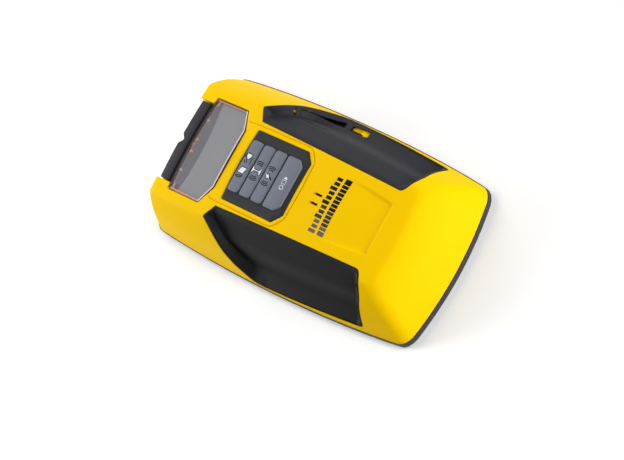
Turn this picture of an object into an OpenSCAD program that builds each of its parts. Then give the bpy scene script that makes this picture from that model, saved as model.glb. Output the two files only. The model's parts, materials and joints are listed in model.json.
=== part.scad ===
// Handheld stud finder: a two-part housing with side grips, a raised display window, four spring
// keys, a side button, a hinged battery door and the electronics that it holds.
// Origin at the middle of the footprint on the resting plane, +Y towards the display end, +Z up.

/* [Housing] */
// Half of the overall width at the widest point
body_half = 41.1; // [40.5:0.1:42]
// Half of the overall length
body_reach = 77.35; // [76:0.05:79]
// Height of the deck at its peak
deck_h = 28.9; // [28.5:0.1:29.5]
// Height of the top of the black rim
rim_h = 3.3; // [3:0.1:3.6]
// Wall thickness of the yellow shell
wall = 2.0; // [1.8:0.1:2.1]
// Ledge of the rim outside the shell
ledge = 0.4; // [0.3:0.1:0.5]
// Height of the glide pads under the base
pad_lift = 0.5; // [0.4:0.1:0.6]

/* [Display] */
// Half width of the display window
lens_half = 22.4; // [22:0.1:22.5]
// Front edge of the display window
lens_front = 57.7; // [57.5:0.1:57.9]
// Rear edge of the display window
lens_rear = 33.5; // [33.3:0.1:34]
// How far the window stands above the deck
lens_rise = 0.9; // [0.7:0.1:1]
// Depth of the window's side walls
lens_depth = 5.5; // [5:0.1:5.6]

/* [Keys] */
// Half width of the keypad panel
panel_half = 16.5; // [16.3:0.1:16.6]
// Top of the keypad panel
panel_top = 28.85; // [28.8:0.05:28.9]
// Half width of a key
key_half = 12; // [11.5:0.1:12.1]
// Gap between two keys
key_gap = 0.5; // [0.5:0.05:0.6]
// Height of a key above the panel
key_rise = 0.75; // [0.7:0.05:0.85]
// Travel of a key
key_travel = 0.6; // [0.4:0.1:0.6]

/* [Battery] */
// Width of the battery block
cell_w = 26.5; // [26:0.1:26.5]
// Length of the battery block without its terminals
cell_l = 46.4; // [46:0.1:46.4]
// Thickness of the battery block
cell_t = 17.5; // [17:0.1:17.5]

/* [Hidden] */

yellow = "#f7cf08";
black = "#2b2b2d";
key_grey = "#6f7580";
board_green = "#2f6b3a";
steel = "#b9bcc0";

gap = 0.3;              // clearance between parts of different bodies
seat = 0.1;             // clearance between parts of the housing
widest_y = 15;          // station where the housing is widest
side_bow = 0.00065;     // curvature of the sides in plan
deck_peak = 12;         // station where the deck is highest
deck_bow = 0.001;       // curvature of the deck along its length
edge_drop = 0.4;        // how much lower the deck's edge is than its middle
shoulder = 4.5;         // rounding between a side and the deck
floor_z = pad_lift;     // underside of the base
floor_t = 2;            // thickness of the base's floor
board_z = 19;           // underside of the main board
board_t = 1.6;          // thickness of a board
board_top = board_z + board_t;
big = 200;

// ---- Shape of the housing -------------------------------------------------------------------

function half_width(y) = body_half - side_bow * pow(y - widest_y, 2);
function deck_z(y) = deck_h - deck_bow * pow(y - deck_peak, 2);
function side_lean(y) = 9.4 - 0.0273 * (y - 10);

// s runs from 0 at the foot of the shell to 1 at the edge of the deck
function side_x(s, y) = half_width(y) - ledge - side_lean(y) * s - shoulder * pow(s, 5);
function front_y(s) = body_reach - ledge - 8.4 * s + 1.6 * pow(s, 5);
function heel_y(s) = ledge - body_reach + 14.1 * s + 4 * pow(s, 5);
function edge_z(s, y) = rim_h + s * (deck_z(y) - edge_drop - rim_h);
function heel_bow(x) = 4.47 * pow(x / 37.3, 2);
function front_bow(x, s) = -(1.2 + 1.4 * s) * pow(x / 37.3, 2);

function mix(a, b, t) = a + (b - a) * t;
function clamped(t) = max(0, min(1, t));

SIDE_STEPS = 14;
CORNER_STEPS = 4;
END_STEPS = 6;

// One quarter of the way round: the right-hand side, its front corner and half of the front
function ring(s, inset) =
  let (
    rf = 7 - 5.5 * clamped(s),
    rh = 6 - clamped(s),
    yf = front_y(s) - inset,
    yh = heel_y(s) + inset,
    side = [for (i = [0 : SIDE_STEPS - 1]) let (y = mix(yh + rh, yf - rf, i / SIDE_STEPS))
      [side_x(s, y) - inset, y]],
    wf = side_x(s, yf - rf) - inset,
    wh = side_x(s, yh + rh) - inset,
    front_corner = [for (i = [0 : CORNER_STEPS - 1]) let (a = 90 * i / CORNER_STEPS)
      [wf - rf * (1 - cos(a)), yf - rf * (1 - sin(a))]],
    front = [for (i = [0 : END_STEPS - 1]) [(wf - rf) * (1 - i / END_STEPS), yf]],
    heel_corner = [for (i = [0 : CORNER_STEPS - 1]) let (a = 90 * i / CORNER_STEPS)
      [wh - rh * (1 - sin(a)), yh + rh * (1 - cos(a))]],
    heel = [for (i = [0 : END_STEPS - 1]) [(wh - rh) * i / END_STEPS, yh]],
    right = concat(heel, heel_corner, side, front_corner, front, [[0, yf]]),
    count = len(right),
    left = [for (i = [count - 2 : -1 : 1]) [-right[i][0], right[i][1]]]
  )
  [for (p = concat(right, left)) [p[0], p[1] + bowed(p, yh, yf, clamped(s))]];

// The ends are bowed in plan, and the bow fades out along the sides
function bowed(p, yh, yf, s) =
  p[1] < 0 ? heel_bow(p[0]) * pow(clamped(p[1] / yh), 6) : front_bow(p[0], s) * pow(clamped(p[1] / yf), 6);

function level(s, inset) = [for (p = ring(s, inset))
  [p[0], p[1], s < 0 ? rim_h + s * 20 : edge_z(s, p[1]) - inset * clamped(s)]];

function deck_level(q, inset) = [for (p = ring(1, inset)) let (x = p[0] * q, y = p[1] * q)
  [x, y, deck_z(y) - edge_drop * pow(q, 4) - inset]];

// A closed solid from a stack of rings with the same number of points
module stack(rings) {
  n = len(rings[0]);
  m = len(rings);
  polyhedron(
    points = [for (r = rings) for (p = r) p],
    faces = concat(
      [[for (i = [0 : n - 1]) i]],
      [for (k = [0 : m - 2]) for (i = [0 : n - 1]) let (j = (i + 1) % n)
        each [[k * n + i, (k + 1) * n + i, (k + 1) * n + j], [k * n + i, (k + 1) * n + j, k * n + j]]],
      [[for (i = [n - 1 : -1 : 0]) (m - 1) * n + i]]
    )
  );
}

WALL_LEVELS = [0, 0.2, 0.4, 0.62, 0.75, 0.87, 0.95, 1];
DECK_LEVELS = [0.75, 0.46, 0.1];

module housing_form(inset) {
  stack(concat(
    inset > 0 ? [level(-0.2, inset)] : [],
    [for (s = WALL_LEVELS) level(s, inset)],
    [for (q = DECK_LEVELS) deck_level(q, inset)]
  ));
}

module base_outline(inset) {
  polygon([for (p = ring(0, inset)) p]);
}

// ---- Shape of a grip ------------------------------------------------------------------------

grip_front = 28.5;      // front end of the grip's inner edge
grip_heel = -50;        // heel end of the grip's inner edge
grip_low_z = 4.6;       // height of the grip's lower edge
GRIP_V = 14;
GRIP_U = 8;

// Fall of the scooped section, from the inner edge at 0 to the lower edge at 1
scoop_section = [[0, 0], [0.09, 0.015], [0.44, 0.34], [0.61, 0.65], [0.75, 0.86], [0.95, 0.97], [1, 1]];

function grip_inner_x(y) = 20.3 - 0.034 * (grip_front - y);
function grip_low_x(y) = half_width(y) - ledge - 0.7;

// Level of the convex side that stands at a given distance from the middle
function side_level(x, y, low = 0, high = 1, steps = 14) =
  let (s = (low + high) / 2)
  steps == 0 ? s
  : side_x(s, y) > x ? side_level(x, y, s, high, steps - 1)
  : side_level(x, y, low, s, steps - 1);
function convex_z(x, y) = edge_z(side_level(x, y), y);

function scoop_z(x, y) =
  let (u = clamped((x - grip_inner_x(y)) / (grip_low_x(y) - grip_inner_x(y))))
  mix(convex_z(grip_inner_x(y), y), grip_low_z, lookup(u, scoop_section));

// Outer edge of the grip: along the rim, then up to the deck in one bend
bend_start = 15;
function quadratic(a, b, c, t) = a * pow(1 - t, 2) + b * 2 * t * (1 - t) + c * pow(t, 2);
function grip_outer(v) =
  v < 0.7
  ? let (y = mix(-51.5, bend_start, v / 0.7)) [grip_low_x(y), y]
  : let (t = (v - 0.7) / 0.3)
    [quadratic(grip_low_x(bend_start), 38, 26.7, t), quadratic(bend_start, 23.5, 32.8, t)];
function grip_inner(v) = let (y = mix(grip_heel, grip_front, v)) [grip_inner_x(y), y];

function grip_point(u, v, grow) =
  let (
    a = grip_inner(v),
    b = grip_outer(v),
    x = mix(a[0], b[0], u),
    y = mix(a[1], b[1], u) - 8 * u * (1 - u) * pow(1 - v, 8),
    outer = convex_z(x, y),
    edge = min(1, (1 - v) * 8, v * 16),
    z = mix(outer, min(outer, scoop_z(x, y)), clamped(edge))
  )
  [x + grow * (2 * u - 1), y + grow * (2 * v - 1), z];

// The scooped surface swept inwards and downwards from one depth to another
module grip_sweep(from_depth, to_depth, grow) {
  n = GRIP_U + 1;
  m = GRIP_V + 1;
  near = [for (j = [0 : GRIP_V]) for (i = [0 : GRIP_U]) grip_point(i / GRIP_U, j / GRIP_V, grow)];
  shift = [0.8, 0, 0.6];
  function quad(i, j) = let (a = j * n + i) [a, a + 1, a + n + 1, a + n];
  rim = concat(
    [for (i = [0 : GRIP_U - 1]) i],
    [for (j = [0 : GRIP_V - 1]) j * n + GRIP_U],
    [for (i = [GRIP_U : -1 : 1]) GRIP_V * n + i],
    [for (j = [GRIP_V : -1 : 1]) j * n]
  );
  count = n * m;
  polyhedron(
    points = concat([for (p = near) p - from_depth * shift], [for (p = near) p - to_depth * shift]),
    faces = concat(
      [for (j = [0 : GRIP_V - 1]) for (i = [0 : GRIP_U - 1]) let (q = quad(i, j))
        each [[q[0], q[2], q[1]], [q[0], q[3], q[2]]]],
      [for (j = [0 : GRIP_V - 1]) for (i = [0 : GRIP_U - 1]) let (q = quad(i, j))
        each [[q[0] + count, q[1] + count, q[2] + count], [q[0] + count, q[2] + count, q[3] + count]]],
      [for (k = [0 : len(rim) - 1]) let (a = rim[k], b = rim[(k + 1) % len(rim)])
        each [[a, b, b + count], [a, b + count, a + count]]]
    )
  );
}

module both_sides() {
  children();
  mirror([1, 0, 0]) children();
}

grip_t = 2;             // thickness of a grip

// ---- Housing --------------------------------------------------------------------------------

case_screw_at = [[27.5, 61], [22, -61]];
board_screw_at = [[17.5, -2.5], [18.5, 30.5]];
peg_at = [[23, 3], [19, 62]];
post_r = 3.2;
post_low = 8.2;

module at_each(places) {
  for (p = places) for (side = [-1, 1]) translate([side * p[0], p[1], 0]) children();
}

module cavity() {
  difference() {
    housing_form(wall);
    both_sides() grip_sweep(-40, grip_t + wall + 0.3, 1.8);
  }
}

module shell_form() {
  intersection() {
    housing_form(0);
    difference() {
      union() {
        difference() {
          translate([-big / 2, -big / 2, 0]) cube([big, big, 60]);
          cavity();
        }
        at_each(case_screw_at) translate([0, 0, post_low]) cylinder(r = post_r, h = 30, $fn = 24);
        at_each(board_screw_at) translate([0, 0, board_top]) cylinder(r = 2.2, h = 20, $fn = 24);
        at_each([[8, 0]]) translate([-0.75, -52, battery_top + 0.2]) cube([1.5, 38, 20]);
      }
      both_sides() grip_sweep(-40, grip_t + 0.13, 0);
      deck_recess();
    }
  }
}

// Shallow scoop in the deck, deepest at its heel end
module deck_recess() {
  translate([0, -49.2, deck_z(-49.2) - 0.9]) rotate([7.2, 0, 0])
    linear_extrude(6) polygon([[-11.5, 0], [11.5, 0], [14.5, 24], [-14.5, 24]]);
}

module lens_outline(grow) {
  polygon([
    [-lens_half - grow, lens_front + grow], [-lens_half - grow, lens_rear + 4.2 - grow * 0.6],
    [-13.6 - grow * 0.6, lens_rear - grow], [13.6 + grow * 0.6, lens_rear - grow],
    [lens_half + grow, lens_rear + 4.2 - grow * 0.6], [lens_half + grow, lens_front + grow]
  ]);
}

lens_mid = (lens_front + lens_rear) / 2;
lens_tilt = -atan((deck_z(lens_rear) - deck_z(lens_front)) / (lens_front - lens_rear));
lens_top = (deck_z(lens_front) + deck_z(lens_rear)) / 2 + lens_rise;

// Moves a shape drawn about the plane z = 0 to the top plane of the display window
module on_lens_plane() {
  translate([0, lens_mid, lens_top]) rotate([lens_tilt, 0, 0]) translate([0, -lens_mid, 0]) children();
}

module panel_outline(grow) {
  polygon([
    [-panel_half - grow, 27 + grow], [-panel_half - grow, -2.3 - grow * 0.4],
    [-12.1 - grow * 0.4, -6.2 - grow], [12.1 + grow * 0.4, -6.2 - grow],
    [panel_half + grow, -2.3 - grow * 0.4], [panel_half + grow, 27 + grow]
  ]);
}

guide_half = 19.6;
guide_rear = 60.4;
guide_front = 67.4;
guide_top = 25;
guide_low = 21.3;

module top_shell() {
  color(yellow) resize([0, 0, 0]) difference() {
    shell_form();
    on_lens_plane() translate([0, 0, -12]) linear_extrude(20) lens_outline(seat);
    translate([-guide_half - seat, lens_front - 1, guide_low - seat]) cube([2 * (guide_half + seat), 30, 20]);
    translate([0, 0, panel_top - 1.2 - seat]) linear_extrude(5) panel_outline(seat);
    translate([-13.8, -4, panel_top - 8]) cube([27.6, 30.85, 10]);
    translate([22, button_heel - 0.5, window_low - 0.6])
      cube([30, window_front - button_heel + 0.4, window_high - window_low + 0.9]);
    at_each(case_screw_at) translate([0, 0, post_low - 1]) cylinder(r = 1.3, h = 9, $fn = 32);
    at_each(board_screw_at) translate([0, 0, board_top - 1]) cylinder(r = 0.95, h = 5, $fn = 32);
    deck_mark_blocks(0.05);
  }
}

module base_shell() {
  lip_h = 1.4;
  color(black) difference() {
    union() {
      translate([0, 0, floor_z]) linear_extrude(floor_t) base_outline(-ledge);
      translate([0, 0, floor_z]) linear_extrude(rim_h - floor_z) difference() {
        base_outline(-ledge);
        base_outline(wall + 1.6);
      }
      translate([0, 0, rim_h - 0.5]) linear_extrude(lip_h) difference() {
        base_outline(wall + 5.6);
        base_outline(wall + 6.8);
      }
      translate([0, 0, floor_z + 0.5]) linear_extrude(rim_h - floor_z - 0.5) difference() {
        base_outline(wall + 1);
        base_outline(wall + 6.8);
      }
      at_each(case_screw_at) translate([0, 0, floor_z]) cylinder(r = post_r, h = post_low - 0.2 - floor_z, $fn = 48);
      at_each(peg_at) translate([0, 0, floor_z]) {
        cylinder(r = 2, h = sensor_z - floor_z, $fn = 48);
        cylinder(r = 1, h = sensor_z + board_t + 0.8 - floor_z, $fn = 48);
      }
      battery_bay();
    }
    translate([-bay_half, bay_heel, floor_z - 1]) cube([2 * bay_half, bay_front - bay_heel, 30]);
    at_each(case_screw_at) {
      translate([0, 0, floor_z - 1]) cylinder(r = 2.8, h = 4, $fn = 48);
      translate([0, 0, floor_z]) cylinder(r = 1.6, h = 12, $fn = 48);
    }
    hinge_pins(0.08, 3.2);
    pad_blocks(0.05, 0);
    translate([-22, 8, floor_z - 1]) cube([44, 30, 1.3]);
    translate([-6, bay_heel - 2.4, floor_z - 1]) cube([12, 3, 2.2]);
  }
}

bay_half = 14.7;
bay_heel = -58.6;
bay_front = -4.6;
bay_wall = 1.3;
bay_h = 11;

module battery_bay() {
  translate([-bay_half - bay_wall, bay_heel - bay_wall, floor_z])
    cube([2 * (bay_half + bay_wall), bay_front - bay_heel + 2 * bay_wall, bay_h]);
}

battery_z = 3.3;
battery_top = battery_z + cell_t;
sensor_z = 4.6;

pad_t = 1;

module pad_blocks(grow, low) {
  blocks = [[0, 66, 46, 6], [-26, -67.5, 12, 5], [26, -67.5, 12, 5]];
  for (b = blocks)
    translate([b[0] - b[2] / 2 - grow, b[1] - b[3] / 2 - grow, low]) cube([b[2] + 2 * grow, b[3] + 2 * grow, pad_t]);
}

module glide_pads() {
  color("#1b1b1c") pad_blocks(0, 0);
}

// ---- Battery door ---------------------------------------------------------------------------

door_gap = 0.35;
hinge_y = -6.2;
hinge_r = 1;
hinge_z = floor_z + hinge_r;

module hinge_pins(grow, reach) {
  pin_low = bay_half - 1;
  for (side = [-1, 1])
    translate([side * pin_low, hinge_y, hinge_z]) rotate([0, side * 90, 0])
      cylinder(r = 0.6 + grow, h = reach - grow, $fn = 32);
}

module battery_door() {
  plate_w = 2 * (bay_half - door_gap);
  plate_l = hinge_y - bay_heel - door_gap;
  color(black) difference() {
    union() {
      translate([-plate_w / 2, bay_heel + door_gap, floor_z]) cube([plate_w, plate_l, floor_t]);
      translate([-plate_w / 2, hinge_y, hinge_z]) rotate([0, 90, 0]) cylinder(r = hinge_r, h = plate_w, $fn = 48);
      hinge_pins(0, 2.6);
      translate([-4, bay_heel - 1.6, floor_z]) cube([8, 3, 1]);
    }
    translate([-plate_w / 2 - 1, hinge_y, floor_z + 2 * hinge_r]) cube([plate_w + 2, 3, 3]);
    for (side = [-1, 1])
      translate([side * 5.5 - 0.4, bay_heel - 1, floor_z - 1]) cube([0.8, 9, 5]);
    for (i = [0 : 4])
      translate([-7, bay_heel + 12 + 2.4 * i, floor_z - 0.6]) cube([14, 1, 1]);
  }
}

module battery_pad() {
  color("#4a4a4c") translate([-9, -44, floor_z + floor_t]) cube([18, 24, 0.7]);
}

// ---- Grips, window and guide ----------------------------------------------------------------

window_heel = -8.8;
window_front = 22.6;
window_low = 6;
window_high = 17;
button_heel = 0;

module side_window() {
  translate([22, window_heel, window_low])
    cube([30, window_front - window_heel, window_high - window_low]);
}

module grip() {
  grip_sweep(0, grip_t, -0.08);
}

module left_grip() {
  color(black) mirror([1, 0, 0]) grip();
}

module right_grip() {
  color(black) difference() {
    grip();
    side_window();
  }
}

module display_lens() {
  top_t = 1.6;
  color([0.75, 0.76, 0.78, 0.5]) on_lens_plane() difference() {
    union() {
      translate([0, 0, -lens_depth]) linear_extrude(lens_depth) lens_outline(0);
    }
    translate([0, 0, -lens_depth - 1]) linear_extrude(lens_depth + 1 - top_t) lens_outline(-1.2);
  }
}

module lens_gasket() {
  color("#3a3a3c") on_lens_plane() translate([0, 0, -lens_depth - 0.8]) linear_extrude(0.8) difference() {
    lens_outline(0);
    lens_outline(-1.2);
  }
}

module marking_guide() {
  notch_half = 2.8;
  notch_depth = 1.5;
  color(black) difference() {
    translate([-guide_half, guide_rear, guide_low]) cube([2 * guide_half, guide_front - guide_rear, guide_top - guide_low]);
    translate([0, 0, guide_low - 1]) linear_extrude(10)
      polygon([[-notch_half, guide_front + 0.1], [0, guide_front - notch_depth], [notch_half, guide_front + 0.1]]);
    translate([-guide_half - 1, guide_rear - 1, guide_low - 1]) cube([2 * guide_half + 2, 3, 2]);
  }
}

// ---- Keys -----------------------------------------------------------------------------------

// Front edge, rear edge and size of the heel chamfer of each key
key_rows = [[26.4, 20.35, 0], [19.85, 13.5, 0], [13, 6.35, 0], [5.85, -3.3, 2.6]];

module key_outline(row, grow) {
  r = 1.7;
  chamfer = row[2];
  w = key_half + grow;
  front = row[0] + grow;
  rear = row[1] - grow;
  c = chamfer > 0 ? chamfer : r;
  polygon([
    [-w + r, front], [-w + r * 0.3, front - r * 0.3], [-w, front - r],
    [-w, rear + c], [-w + c * (chamfer > 0 ? 0.5 : 0.3), rear + c * (chamfer > 0 ? 0.5 : 0.3)], [-w + c, rear],
    [w - c, rear], [w - c * (chamfer > 0 ? 0.5 : 0.3), rear + c * (chamfer > 0 ? 0.5 : 0.3)], [w, rear + c],
    [w, front - r], [w - r * 0.3, front - r * 0.3], [w - r, front]
  ]);
}

module keypad_panel() {
  color("#3c3c40") translate([0, 0, panel_top - 1.2]) linear_extrude(1.2) difference() {
    panel_outline(0);
    for (row = key_rows) key_outline(row, 0.18);
  }
}

key_flange_top = panel_top - 1.2 - gap;
key_flange_t = 0.7;
plunger_top = board_top + 4.4;

module key(index) {
  row = key_rows[index];
  mid = (row[0] + row[1]) / 2;
  color(key_grey) union() {
    translate([0, 0, key_flange_top - key_flange_t]) linear_extrude(panel_top + key_rise - key_flange_top + key_flange_t)
      key_outline(row, 0);
    translate([-13.2, row[1] + 0.8, key_flange_top - key_flange_t])
      cube([26.4, row[0] - row[1] - 1.6, key_flange_t]);
    translate([0, mid, plunger_top + 0.02]) cylinder(r = 1.5, h = key_flange_top - plunger_top - 0.3, $fn = 32);
  }
}

module depth_key() { key(0); }
module metal_key() { key(1); }
module live_wire_key() { key(2); }
module select_key() { key(3); }

switch_h = 3.4;

module plunger(index) {
  row = key_rows[index];
  color("#1d1d1f") translate([0, (row[0] + row[1]) / 2, 0]) {
    translate([0, 0, board_top + 1.6]) cylinder(r = 1.4, h = plunger_top - board_top - 1.6, $fn = 32);
  }
}

module depth_plunger() { plunger(0); }
module metal_plunger() { plunger(1); }
module live_wire_plunger() { plunger(2); }
module select_plunger() { plunger(3); }

module key_switches() {
  color("#35363a") for (row = key_rows)
    translate([0, (row[0] + row[1]) / 2, board_top]) difference() {
      translate([-2.6, -2.6, 0]) cube([5.2, 5.2, switch_h]);
      translate([0, 0, 0.9]) cylinder(r = 1.46, h = switch_h, $fn = 32);
    }
}

// ---- Side button ----------------------------------------------------------------------------

button_mid_y = 11;
button_mid_z = 12;
button_travel = 1.2;

// The button's outer face follows the scooped wall, a little proud of it at its heel end
module side_button() {
  front = window_front - 0.8;
  low = window_low + 1.1;
  high = window_high - 0.4;
  color("#333336") difference() {
    union() {
      translate([0, front, 0]) rotate([90, 0, 0]) linear_extrude(front - button_heel)
        polygon([[29, low], [35.3, low], [34.6, low + 1.7], [31.2, high - 0.8], [30.6, high], [29, high]]);
      translate([25.8, button_heel + 4, low + 1]) cube([3.3, front - button_heel - 8, high - low - 2]);
    }
    translate([35.3, button_heel + 4, low - 1]) rotate([0, 0, 3.6]) cube([4, 30, 20]);
    translate([31.6, front, low - 1]) rotate([0, 0, -40]) cube([6, 6, 20]);
  }
}

module side_plunger() {
  color("#1d1d1f") translate([21.6, button_mid_y, button_mid_z]) rotate([0, 90, 0]) cylinder(r = 1.4, h = 4.15, $fn = 32);
}

module side_switch() {
  color("#35363a") difference() {
    translate([18.4, button_mid_y - 3, button_mid_z - 3]) cube([4.5, 6, board_z - button_mid_z + 3 - 0.05]);
    translate([20.2, button_mid_y, button_mid_z]) rotate([0, 90, 0]) cylinder(r = 1.46, h = 6, $fn = 32);
  }
}

// ---- Fasteners, label and mark --------------------------------------------------------------

module screw(head_r, head_h, shank_r, shank_h) {
  difference() {
    union() {
      cylinder(r = head_r, h = head_h, $fn = 48);
      cylinder(r = shank_r, h = head_h + shank_h, $fn = 32);
    }
    for (a = [0, 90]) rotate([0, 0, a]) translate([-head_r * 0.6, -0.35, -0.1]) cube([head_r * 1.2, 0.7, head_h * 0.6]);
  }
}

module case_screws() {
  color(steel) at_each(case_screw_at) translate([0, 0, floor_z + 1.2]) screw(2.6, 1.75, 1.25, 11);
}

module board_screws() {
  color(steel) at_each(board_screw_at) translate([0, 0, board_z - 1.3]) screw(1.9, 1.25, 0.9, 5);
}

module rating_label() {
  color("#b7b9bb") translate([-21.8, 8.2, floor_z + 0.1]) cube([43.6, 29.6, 0.18]);
}

// A graded row of blocks over two long bars
mark_heel = -27.4;

module deck_mark_blocks(grow) {
  for (i = [-6 : 6])
    let (length = 6.4 - abs(i) * 0.62)
    translate([i * 2.05 - 0.6 - grow, -23.4 - grow, deck_z(-21) - 0.62])
      cube([1.2 + 2 * grow, length + 2 * grow, 0.62 + 0.4]);
  translate([-13 - grow, mark_heel - grow, deck_z(mark_heel) - 0.5])
    cube([26 + 2 * grow, 2.4 + 2 * grow, 0.5 + 0.3]);
}

module deck_mark() {
  color("#1c1c1e") intersection() {
    deck_mark_blocks(0);
    translate([0, 0, 0.04]) housing_form(0);
  }
}

// ---- Electronics ----------------------------------------------------------------------------

module main_board() {
  color(board_green) difference() {
    translate([-20.8, -5.5, board_z]) cube([41.6, 64, board_t]);
    at_each(board_screw_at) translate([0, 0, board_z - 1]) cylinder(r = 1.15, h = 4, $fn = 32);
  }
}

module sensor_board() {
  color(board_green) difference() {
    translate([-27, -1, sensor_z]) cube([54, 68, board_t]);
    at_each(peg_at) translate([0, 0, sensor_z - 1]) cylinder(r = 1.1, h = 4, $fn = 32);
    at_each(case_screw_at) translate([0, 0, sensor_z - 1]) cylinder(r = post_r + 0.4, h = 4, $fn = 48);
  }
}

module sensor_plates() {
  color("#c98b3c") for (x = [-14.5, 0, 14.5])
    translate([x - 5.5, 8, sensor_z - 0.12]) cube([11, 50, 0.1]);
}

module board_header() {
  low = sensor_z + board_t;
  color("#c9a64a") for (i = [0 : 5])
    translate([-16 + 2.54 * i, 54, low + 0.02]) cylinder(r = 0.32, h = board_z - low - 0.04, $fn = 16);
}

module lcd_glass() {
  color("#8e9296") translate([-18.5, 40.6, board_top + 1.9]) cube([37, 13.6, 1.8]);
}

module lcd_frame() {
  color("#55575b") difference() {
    translate([-20.4, 38.9, board_top + 0.02]) cube([40.8, 16.6, 4.1]);
    translate([-18.7, 40.4, board_top - 1]) cube([37.4, 14, 4.85]);
    translate([-16.8, 42.2, board_top]) cube([33.6, 10.4, 8]);
  }
}

module backlight() {
  color("#e9e6d8") translate([-18.2, 42.6, board_top + 0.04]) cube([36.4, 11.4, 1.8]);
}

module zebra_strip() {
  color("#d88aa0") translate([-17, 40.7, board_top + 0.04]) cube([34, 1.6, 1.82]);
}

module microcontroller() {
  color("#232325") translate([-14, 24, board_z - 1.5]) cube([12, 12, 1.45]);
}

module board_components() {
  sizes = [[-18, 12, 5, 4, 1.6], [-10, 12, 4, 6, 1.4], [4, 14, 5, 5, 1.2], [8, 24, 6, 4, 1.6], [-4, 42, 8, 5, 1.6]];
  color("#4a4038") {
    for (c = sizes) translate([c[0], c[1], board_z - c[4] - 0.02]) cube([c[2], c[3], c[4]]);
    for (y = [20, 30]) translate([15, y, sensor_z + board_t + 0.02]) cylinder(r = 2.5, h = 7, $fn = 32);
    for (y = [14, 24, 34]) translate([-10, y, sensor_z + board_t + 0.02]) cube([7, 5, 1.5]);
  }
}

module buzzer() {
  color("#1a1a1b") translate([11, 46, board_z - 6.5]) difference() {
    cylinder(r = 6, h = 6.45, $fn = 64);
    translate([0, 0, -1]) cylinder(r = 1, h = 3, $fn = 32);
  }
}

cell_heel = -57.2;
cell_front = cell_heel + cell_l;
stud_x = 6.35;
cell_mid_z = battery_z + cell_t / 2;

module battery() {
  color("#5b6673") union() {
    translate([-cell_w / 2, cell_heel, battery_z]) cube([cell_w, cell_l, cell_t]);
    translate([stud_x, cell_front, cell_mid_z]) rotate([-90, 0, 0]) cylinder(r = 2.8, h = 2.1, $fn = 32);
    translate([-stud_x, cell_front, cell_mid_z]) rotate([-90, 0, 0]) difference() {
      cylinder(r = 4.4, h = 2.1, $fn = 6);
      translate([0, 0, 0.3]) cylinder(r = 3.1, h = 3, $fn = 32);
    }
  }
}

snap_y = cell_front + 2.3;

module battery_snap() {
  color("#1e1e20") translate([-12.5, snap_y, cell_mid_z - 6]) cube([25, 1.8, 12]);
}

module snap_contacts() {
  color(steel) {
    translate([stud_x, cell_front + 0.3, cell_mid_z]) rotate([-90, 0, 0]) difference() {
      cylinder(r = 3.8, h = 1.95, $fn = 32);
      translate([0, 0, -1]) cylinder(r = 2.95, h = 5, $fn = 32);
    }
    translate([-stud_x, cell_front + 0.5, cell_mid_z]) rotate([-90, 0, 0]) cylinder(r = 2.8, h = 1.75, $fn = 32);
  }
}

lead_r = 0.7;
lead_path = [[0, snap_y + 1.85, 13.5], [0, snap_y + 3.2, 13.6], [0, snap_y + 4.8, 14.4], [0, -0.4, 15.6],
  [0, 1.6, 16.6], [0, 3.2, 17.4], [0, 4.2, 18], [0, 4.6, 18.6]];

// A round wire swept along its points in a plane of constant x
module lead(x, drift) {
  sides = 8;
  count = len(lead_path);
  function along(i) = let (d = lead_path[min(i + 1, count - 1)] - lead_path[max(i - 1, 0)]) d / norm(d);
  stack([for (i = [0 : count - 1]) let (d = along(i), p = lead_path[i]) [for (k = [0 : sides - 1])
    let (a = 360 * k / sides) p + [x + drift * i / count, 0, 0]
      + lead_r * (cos(a) * [1, 0, 0] + sin(a) * [0, d[2], -d[1]])]]);
}

module lead_red() {
  color("#b3201c") lead(3, 4);
}

module lead_black() {
  color("#19191a") lead(-3, -4);
}

base_shell();
top_shell();
left_grip();
right_grip();
display_lens();
lens_gasket();
marking_guide();
keypad_panel();
depth_key();
metal_key();
live_wire_key();
select_key();
depth_plunger();
metal_plunger();
live_wire_plunger();
select_plunger();
side_button();
side_plunger();
side_switch();
battery_door();
battery_pad();
glide_pads();
case_screws();
rating_label();
deck_mark();
main_board();
sensor_board();
sensor_plates();
board_header();
board_screws();
lcd_glass();
lcd_frame();
backlight();
zebra_strip();
key_switches();
microcontroller();
board_components();
buzzer();
battery();
battery_snap();
snap_contacts();
lead_red();
lead_black();
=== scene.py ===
"""Looks of a handheld stud finder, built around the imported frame. Lengths are mm until a mesh is made."""
import bpy
import bmesh
import json
import math
import numpy as np
from mathutils import Matrix, Vector
from mathutils.bvhtree import BVHTree
from mathutils.geometry import delaunay_2d_cdt


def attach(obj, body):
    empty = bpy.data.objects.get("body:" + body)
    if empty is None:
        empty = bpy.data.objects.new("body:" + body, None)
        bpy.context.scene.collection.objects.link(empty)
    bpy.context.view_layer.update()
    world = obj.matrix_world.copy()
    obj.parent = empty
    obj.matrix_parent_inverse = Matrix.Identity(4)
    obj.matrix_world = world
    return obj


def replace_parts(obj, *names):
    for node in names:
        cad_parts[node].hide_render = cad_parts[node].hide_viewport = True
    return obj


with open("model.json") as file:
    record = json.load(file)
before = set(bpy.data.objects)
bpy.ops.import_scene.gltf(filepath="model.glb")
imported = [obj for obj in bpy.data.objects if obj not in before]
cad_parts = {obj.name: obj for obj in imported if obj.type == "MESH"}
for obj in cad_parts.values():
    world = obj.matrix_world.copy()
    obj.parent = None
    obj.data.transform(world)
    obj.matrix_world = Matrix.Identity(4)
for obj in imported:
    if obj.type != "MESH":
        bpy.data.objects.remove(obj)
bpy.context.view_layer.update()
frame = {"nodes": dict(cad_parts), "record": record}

nodes = frame["nodes"]
MM = 0.001

# ---- Camera ---------------------------------------------------------------------------------------

AZIMUTH, ELEVATION, ROLL = (math.radians(v) for v in (-6.999, 51.8517, -55.5032))
CAMERA_AT = Vector((-0.065611, -0.459609, 0.588592))
FOCAL_LENGTH, SENSOR_WIDTH = 101.87, 36

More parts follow.
